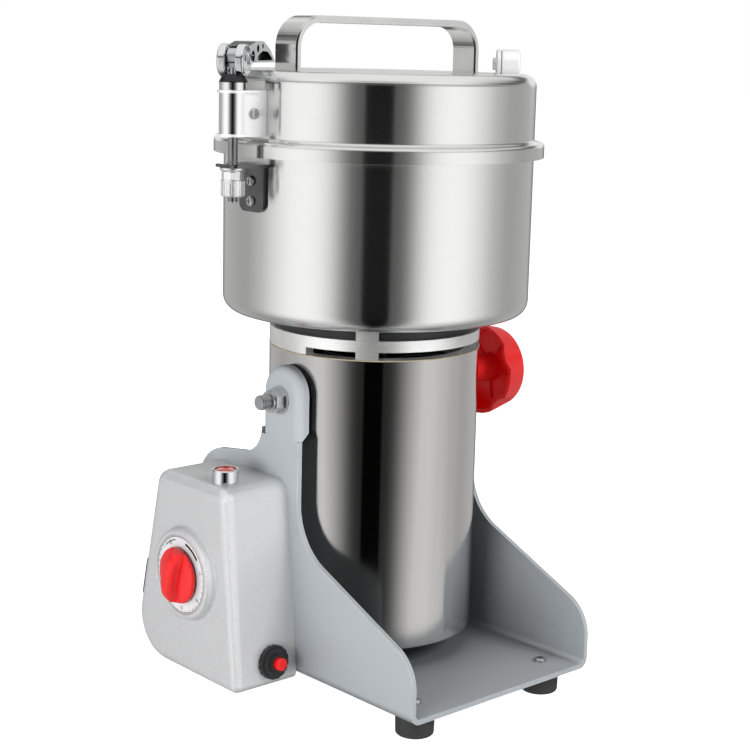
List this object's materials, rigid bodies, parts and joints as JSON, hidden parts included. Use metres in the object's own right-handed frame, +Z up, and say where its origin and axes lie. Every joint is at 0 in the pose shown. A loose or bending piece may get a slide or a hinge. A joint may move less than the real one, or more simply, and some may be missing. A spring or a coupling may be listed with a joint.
{
  "type": "spice grinder",
  "caption": "High-speed bench spice grinder: steel bowl and swinging lid on a motor that tilts in a bent steel stand, with a cam clamp and a timer box.",
  "frame": {"origin": "on the floor under the middle of the whole grinder's bounding box", "axes": "+Z up along the motor shaft, -Y the open front of the stand, -X the side with the control box"},
  "size_m": [0.2563, 0.2176, 0.401],
  "materials": {
    "stand_paint": "satin hammered grey paint",
    "box_paint": "metallic silver paint with a fine sparkle",
    "black_rubber": "matt",
    "seal_rubber": "matt",
    "white_silicone": "satin",
    "zinc": "zinc plated, satin",
    "chrome": "polished",
    "bright_steel": "brushed round the axis, half gloss",
    "mirror_steel": "polished",
    "blade_steel": "ground",
    "dark_steel": "blackened",
    "cast_alloy": "fine cast skin, turned band",
    "plain_alloy": "as cast",
    "cover_steel": "satin",
    "lamination": "oiled sheet edges",
    "copper": "enamelled wire",
    "contact_brass": "bright",
    "carbon": "dull black carbon",
    "black_plastic": "fine grained",
    "grey_plastic": "matt",
    "red_plastic": "half gloss",
    "red_lens": "clear red, gloss",
    "dial_print": "printed, satin"
  },
  "bodies": {
    "stand": {"stand_frame": "stand_paint", "rubber_feet": "black_rubber", "foot_screws": "zinc", "control_box": "box_paint", "box_screws": "zinc", "lamp_bezel": "chrome", "lamp_lens": "red_lens", "dial_plate": "dial_print", "timer_body": "grey_plastic", "breaker_body": "black_plastic", "breaker_nut": "black_plastic", "mains_inlet": "black_plastic", "inlet_pins": "contact_brass"},
    "timer_dial": {"timer_knob": "red_plastic"},
    "reset": {"reset_button": "red_plastic"},
    "motor": {"motor_shell": "mirror_steel", "end_ring": "cast_alloy", "bowl_gasket": "seal_rubber", "top_bearing": "chrome", "stator_core": "lamination", "field_coils": "copper", "brush_holders": "black_plastic", "carbon_brushes": "carbon", "lower_bracket": "plain_alloy", "bottom_bearing": "chrome", "bottom_cover": "cover_steel", "cover_screws": "zinc", "trunnion_bosses": "plain_alloy", "trunnion_studs": "zinc", "pivot_nut": "zinc", "grinding_bowl": "bright_steel", "bowl_screws": "zinc", "shaft_seal": "seal_rubber", "catch_plate": "zinc", "post_bracket": "zinc", "bracket_screws": "zinc", "pivot_post": "chrome", "pivot_head": "chrome"},
    "rotor": {"motor_shaft": "blade_steel", "armature_core": "lamination", "armature_winding": "copper", "commutator": "copper", "cooling_fan": "grey_plastic", "lower_blade": "blade_steel", "middle_blade": "blade_steel", "upper_blade": "blade_steel", "blade_spacers": "blade_steel", "blade_nut": "blade_steel"},
    "side_knob": {"tilt_knob": "red_plastic"},
    "lid": {"lid_shell": "bright_steel", "lid_gasket": "white_silicone", "lid_handle": "mirror_steel", "clamp_bracket": "chrome", "pivot_sleeve": "chrome", "lid_screws": "zinc"},
    "saddle": {"clamp_saddle": "dark_steel"},
    "clamp": {"clamp_rod": "zinc", "cam_pin": "chrome"},
    "lever": {"cam_lever": "chrome"},
    "nut": {"knurled_nut": "zinc"}
  },
  "joints": [
    {"name": "timer_turn", "type": "hinge", "parent": "stand", "child": "timer_dial", "pos_m": [-0.11152, 0.03955, 0.0755], "axis": [1, 0, 0], "range_deg": [0, 300]},
    {"name": "reset_press", "type": "slide", "parent": "stand", "child": "reset", "axis": [0, 0.995, -0.0999], "range_m": [0, 0.003], "stiffness_N_per_m": 300, "springref_m": -0.002},
    {"name": "motor_tilt", "type": "hinge", "parent": "stand", "child": "motor", "pos_m": [0.00748, 0.01025, 0.18], "axis": [1, 0, 0], "range_deg": [-70, 110]},
    {"name": "side_knob_turn", "type": "hinge", "parent": "motor", "child": "side_knob", "pos_m": [0.10108, 0.01025, 0.18], "axis": [1, 0, 0], "range_deg": [0, 360]},
    {"name": "blade_spin", "type": "hinge", "parent": "motor", "child": "rotor", "pos_m": [0.00748, 0.01025, 0.25], "axis": [0, 0, 1], "continuous": true},
    {"name": "lid_swing", "type": "hinge", "parent": "motor", "child": "lid", "pos_m": [0.11698, 0.01025, 0.35], "axis": [0, 0, -1], "range_deg": [0, 120]},
    {"name": "clamp_swivel", "type": "hinge", "parent": "lid", "child": "saddle", "pos_m": [-0.10202, 0.01025, 0.36], "axis": [0, 0, 1], "range_deg": [0, 120]},
    {"name": "rod_travel", "type": "slide", "parent": "saddle", "child": "clamp", "axis": [0, 0, -1], "range_m": [0, 0.00425]},
    {"name": "cam_turn", "type": "hinge", "parent": "clamp", "child": "lever", "pos_m": [-0.10202, 0.01025, 0.37722], "axis": [0.5736, -0.8192, 0], "range_deg": [0, 120]},
    {"name": "nut_turn", "type": "hinge", "parent": "clamp", "child": "nut", "pos_m": [-0.10202, 0.01025, 0.3165], "axis": [0, 0, 1], "range_deg": [-360, 360]}
  ],
  "couplings": [
    {"joint": "rod_travel", "follows": "cam_turn", "m_per_rad": 0.0020261}
  ]
}
